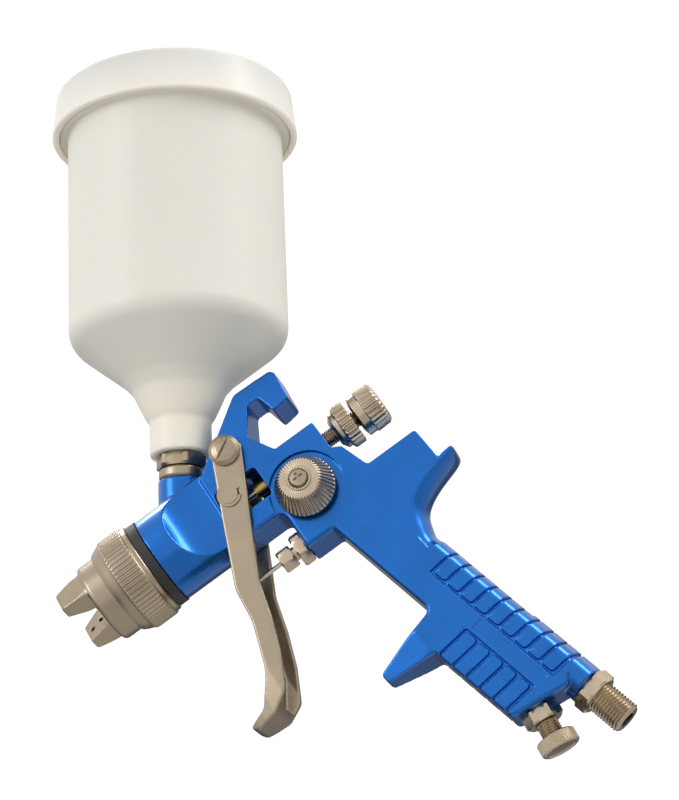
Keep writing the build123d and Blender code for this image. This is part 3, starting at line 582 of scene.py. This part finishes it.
def grip_pads(piece):
    """Sinks narrow grooves round the pads of the grip into the casting."""
    refine_grip(piece)
    count = len(piece.data.vertices)
    points = np.empty(count * 3)
    piece.data.vertices.foreach_get("co", points)
    points = points.reshape(-1, 3)
    normals = np.empty(count * 3)
    piece.data.vertex_normals.foreach_get("vector", normals)
    normals = normals.reshape(-1, 3)
    u, w = grip_place(points)
    depth = np.zeros(count)
    for u0, u1, v0, v1, amount, pitch in PANELS:
        panel = box_distance(u, w, u0, u1, v0, v1, PANEL_CORNER)
        pads = np.full(count, np.inf)
        for index in range(amount):
            top = v0 + PAD_GAP + index * pitch
            pad = box_distance(u, w, u0 + PAD_INSET, u1 - PAD_INSET,
                               top, top + pitch - PAD_GAP, PAD_CORNER)
            pads = np.minimum(pads, pad)
        inside = smooth_step(-panel, -GROOVE_EDGE, GROOVE_EDGE)
        between = smooth_step(pads, -GROOVE_EDGE, GROOVE_EDGE)
        depth = np.maximum(depth, inside * between)
    points -= normals * (depth * GROOVE_DEPTH * MM)[:, None]
    strip = smooth_step(-box_distance(u, w, *STRIP, STRIP_CORNER), -GROOVE_EDGE, GROOVE_EDGE)
    points -= normals * (strip * STRIP_DEPTH * MM)[:, None]
    piece.data.vertices.foreach_set("co", points.ravel())
    piece.data.update()


cast("casting", "gun_body", BLUE, "gun",
     voxel=0.42, rounds=4, triangle_limit=190000, shaped=grip_pads)
cast("pressed_trigger", "trigger", NICKEL, "trigger",
     voxel=0.38, rounds=8, triangle_limit=60000)
cast("horned_cap", "air_cap", NICKEL, "air_cap",
     voxel=0.32, rounds=9, triangle_limit=60000)


# ---------------------------------------------------------------- turned and knurled pieces
X_WAY = Vector((1, 0, 0))
FAN_WAY = Vector((0, -1, 0))
INLET_BASE = head(113.5, 0, -147.3)
REGULATOR = head(92.95, 0, -143.2)
VALVE_Z = -31.9
SLEEVE_FIT_R = 3.65
CAP_DRUM_R = 21.15
NIPPLE_BORE_R = 5.0
INLET_BORE_R = 3.2

# The standard G 1/4 pipe thread.
G_QUARTER_R = 6.578
G_QUARTER_PITCH = 1.337
G_QUARTER_DEPTH = 0.856


def on_cup(height):
    """A point on the cup's axis."""
    return CUP_BASE + CUP_WAY * height * MM


def nut(name, start, way, thick, flats, bore, material, body, replaced, chamfer):
    """A chamfered hexagon with two flats facing the gun's sides."""
    face = flats / 2 - 0.1
    corner = flats / 2 / math.cos(FACE_HALF) - 0.1
    profile = [(0, bore), (0, face), (chamfer, corner), (thick - chamfer, corner), (thick, face),
               (thick, bore)]
    lathe(name, profile, start, way, material, body, replaced,
          ease=0.0, shape=hexagon(flats, FACE_HALF))


def sleeve(name, start, way, length, radius, bore, material, around=64, ease=0.2):
    """A plain tube that belongs to the gun."""
    profile = [(0, bore), (0, radius), (length, radius), (length, bore)]
    lathe(name, profile, start, way, material, "gun", around=around, ease=ease)


# The cap ring, knurled along its middle.
lathe("knurled_ring",
      [(0, 17.8), (0, 18.3), (2.0, 19.4), (4.6, 20.4), (4.9, 20.9), (6.0, CAP_DRUM_R), (14.6, CAP_DRUM_R),
       (15.6, 20.8), (15.9, 20.3), (17.4, 20.2), (18.0, 19.5), (18.0, 16.05), (6.4, 16.05),
       (6.4, 18.8), (2.4, 18.8), (2.4, 17.8)],
      head(-18.0, 0, 0), X_WAY, NICKEL, "cap_ring", ("air_cap_ring",), around=384,
      shape=flutes(64, depth=0.5, low=5.2, high=15.4, fade=0.7, sharpness=1.6))

# The needle's sleeve, lock nut and fluid knob.
screw_thread("needle_sleeve", head(72.0, 0, 0), X_WAY, length=34.0, radius=3.6, pitch=1.0,
             depth=0.45, material=NICKEL_PAINTED_LIGHT, body="gun",
             replaced=("needle_guide",), bore=2.7, chamfer=0.5)
lathe("lock_nut_turned",
      [(0, SLEEVE_FIT_R), (0, 5.2), (1.8, 7.9), (3.4, 7.9), (3.9, 9.2), (4.5, 9.75), (8.8, 9.75),
       (9.4, 9.1), (9.4, SLEEVE_FIT_R)],
      head(91.8, 0, 0), X_WAY, NICKEL_PAINTED_LIGHT, "lock_nut", ("needle_lock_nut",),
      around=216, ease=0.25,
      shape=flutes(27, depth=0.75, low=3.9, high=9.6, fade=0.5, sharpness=1.3))
lathe("fluid_knob_turned",
      [(0, SLEEVE_FIT_R), (0, 5.9), (0.9, 9.0), (4.2, 9.0), (4.8, 9.75), (10.8, 9.45), (12.0, 8.2),
       (12.4, 6.4), (12.4, 0), (3.8, 0), (3.8, SLEEVE_FIT_R)],
      head(102.6, 0, 0), X_WAY, NICKEL_PAINTED_LIGHT, "needle_knob", ("needle_knob",),
      around=216, ease=0.25,
      shape=flutes(27, depth=0.75, low=4.6, high=12.2, fade=0.6, sharpness=1.3))

# The cup's collar and nipple.
lathe("nipple_collar", [(0, 7.5), (0, 8.2), (1.4, 9.3), (4.4, 9.3), (5.4, 8.6), (5.4, 7.5)],
      on_cup(26.9), CUP_WAY, NICKEL, "gun", ("inlet_collar",))
nut("nipple_hexagon", on_cup(32.4), CUP_WAY, thick=5.6, flats=18.7, bore=NIPPLE_BORE_R,
    material=NICKEL, body="gun", replaced=("inlet_nipple",), chamfer=0.9)
sleeve("nipple_spigot", on_cup(13.9), CUP_WAY, length=18.6, radius=7.5, bore=NIPPLE_BORE_R,
       material=NICKEL)
sleeve("nipple_top", on_cup(38.0), CUP_WAY, length=11.9, radius=8.5, bore=NIPPLE_BORE_R,
       material=NICKEL, ease=0.3)

# The air valve's body and gland nut.
nut("valve_hexagon", head(51.5, 0, VALVE_Z), X_WAY, thick=5.0, flats=13.0, bore=3.0,
    material=NICKEL_PAINTED_LIGHT, body="gun", replaced=("valve_body",), chamfer=0.7)
sleeve("valve_sleeve", head(56.4, 0, VALVE_Z), X_WAY, length=9.5, radius=3.8, bore=1.5,
       material=NICKEL_PAINTED_LIGHT, around=48)
nut("gland_hexagon", head(43.7, 0, VALVE_Z), X_WAY, thick=6.2, flats=9.0, bore=1.0,
    material=NICKEL_PAINTED_LIGHT, body="gun", replaced=("valve_gland_nut",), chamfer=0.7)
sleeve("gland_sleeve", head(49.9, 0, VALVE_Z), X_WAY, length=2.6, radius=3.0, bore=1.0,
       material=NICKEL_PAINTED_LIGHT, around=48, ease=0.1)

# The fan control's fluted knob with a raised ring on its face.
lathe("fan_knob_turned",
      [(0, 3.2), (0, 12.3), (0.6, 12.75), (1.6, 12.65), (10.4, 9.2), (11.2, 8.5), (11.2, 5.4),
       (11.8, 5.2), (11.8, 4.3), (11.3, 4.1), (11.3, 2.4), (2.0, 2.4), (2.0, 3.2)],
      head(70.0, -13.3, -16.4), FAN_WAY, NICKEL_PAINTED_LIGHT, "fan_control", ("fan_knob",),
      around=352, ease=0.2, side=X_WAY,
      shape=flutes(44, depth=0.7, low=1.2, high=12.2, fade=0.8, sharpness=1.2))

# The air inlet and the regulator.
nut("inlet_hexagon", INLET_BASE, RAKE_WAY, thick=6.0, flats=16.0, bore=INLET_BORE_R,
    material=NICKEL_PAINTED_LIGHT, body="gun", replaced=("air_inlet",), chamfer=0.8)
screw_thread("inlet_thread", INLET_BASE + RAKE_WAY * 5.9 * MM, RAKE_WAY, length=14.1,
             radius=G_QUARTER_R, pitch=G_QUARTER_PITCH, depth=G_QUARTER_DEPTH,
             material=NICKEL_PAINTED_LIGHT, body="gun", bore=INLET_BORE_R, chamfer=1.0,
             around=64)
nut("regulator_hexagon", REGULATOR, END_WAY, thick=5.8, flats=14.0, bore=2.05,
    material=NICKEL_PAINTED_LIGHT, body="gun", replaced=("regulator_bushing",), chamfer=0.8)
screw_thread("regulator_screw", REGULATOR + END_WAY * 6.0 * MM, END_WAY, length=8.3, radius=4.5,
             pitch=1.0, depth=0.5, material=NICKEL_PAINTED_LIGHT, body="regulator",
             replaced=("regulator_stem",), chamfer=0.3)
lathe("regulator_knob_turned",
      [(0, 4.5), (0, 7.6), (0.5, 8.1), (5.0, 8.1), (5.6, 7.4), (5.65, 6.2), (5.35, 5.8), (5.35, 0),
       (2.3, 0), (2.3, 4.5)],
      REGULATOR + END_WAY * 12.2 * MM, END_WAY, NICKEL_PAINTED_LIGHT, "regulator",
      ("regulator_knob",), around=288, ease=0.2,
      shape=flutes(48, depth=0.4, low=0.4, high=5.3, fade=0.4, sharpness=1.4))


# ---------------------------------------------------------------- cup and lid
NECK_R = 8.55
FOOT_R = 12.85
SHOULDER = (94.0, 36.2)
CUP_R = 46.2
RIM_R = 49.6
CUP_TOP = 199.8
LID_TOP = 203.0
RIB_FROM_R = 50.2


def corner_arc(centre_along, centre_r, radius, first, last):
    """Points round a corner of a turned profile."""
    made = []
    for k in range(ARC_STEPS + 1):
        angle = math.radians(first + (last - first) * k / ARC_STEPS)
        made.append((centre_along - radius * math.sin(angle), centre_r + radius * math.cos(angle)))
    return made


def ribs(count, height, low, high, fade):
    """Faint ribs down a moulded skirt."""
    def raise_ribs(along, radius, angle):
        band = np.clip((along - low) / fade, 0, 1) * np.clip((high - along) / fade, 0, 1)
        outer = np.clip((radius - RIB_FROM_R) / 0.3, 0, 1)
        return radius - height * outer * band * (0.5 - 0.5 * np.cos(count * angle)) ** 3
    return raise_ribs


lathe("moulded_cup",
      [(38.1, NECK_R), (38.1, 12.3), (38.7, FOOT_R), (52.5, FOOT_R), (55.0, 14.6), (60.5, 17.2),
       (66.0, 19.6), (71.0, 24.0)]
      + corner_arc(*SHOULDER, 10.0, 52, 0)
      + [(182.2, CUP_R), (182.2, RIM_R), (CUP_TOP, RIM_R), (CUP_TOP, 44.0)]
      + corner_arc(*SHOULDER, 7.8, 0, 52)
      + [(73.4, 22.6), (68.2, 17.0), (54.9, NECK_R), (52.1, 7.75), (50.5, 7.75), (50.5, NECK_R)],
      CUP_BASE, CUP_WAY, MILK, "cup", ("paint_cup",), around=160, ease=1.2)
lathe("moulded_lid",
      [(182.0, 49.9), (182.0, 52.3), (182.8, 52.85), (198.2, 51.2)]
      + corner_arc(198.6, 46.8, 4.4, -15, -84)
      + [(LID_TOP, 44.0), (202.6, 41.0), (202.6, 38.0), (LID_TOP, 37.0), (LID_TOP, 2.55),
         (201.0, 2.55), (201.0, 49.9)],
      CUP_BASE, CUP_WAY, LID, "lid", ("cup_lid",), around=240, ease=0.4,
      shape=ribs(60, height=0.22, low=184.0, high=198.0, fade=2.0))


# ---------------------------------------------------------------- CAD nodes that stay
FINISHES = {
    "fluid_nozzle": STEEL, "air_baffle": NICKEL, "head_seal_ring": RUBBER, "fluid_needle": STEEL,
    "needle_collar": BRASS, "needle_packing": WHITE, "packing_nut": BRASS, "needle_spring": STEEL,
    "needle_stop": STEEL, "cup_strainer": WHITE, "lid_gasket": WHITE, "lid_vent": WHITE,
    "needle_pull_pin": NICKEL, "pin_clips": NICKEL, "pivot_screw": NICKEL, "pivot_nut": NICKEL,
    "valve_packing": WHITE, "valve_stem": STEEL, "valve_washer": RUBBER, "valve_spring": STEEL,
    "fan_bush": NICKEL, "fan_stem": STEEL, "fan_screw": NICKEL,
}
for name, material in FINISHES.items():
    finish_node(name, material)


# ---------------------------------------------------------------- floor
FLOOR_HALF = 3.0
FLOOR_LEVEL = -1.1


def floor():
    """A plain pale floor well below the held gun."""
    corners = [(x * FLOOR_HALF, y * FLOOR_HALF, FLOOR_LEVEL)
               for x, y in ((-1, -1), (1, -1), (1, 1), (-1, 1))]
    mesh = bpy.data.meshes.new("floor")
    mesh.from_pydata(corners, [], [(0, 1, 2, 3)])
    mesh.materials.append(surface("pale_floor", (0.62, 0.62, 0.61), rough=0.7, grain=60.0, broad=2.0,
                                  shift=0.01, bump=0.0))
    plane = bpy.data.objects.new("floor", mesh)
    bpy.context.scene.collection.objects.link(plane)


floor()
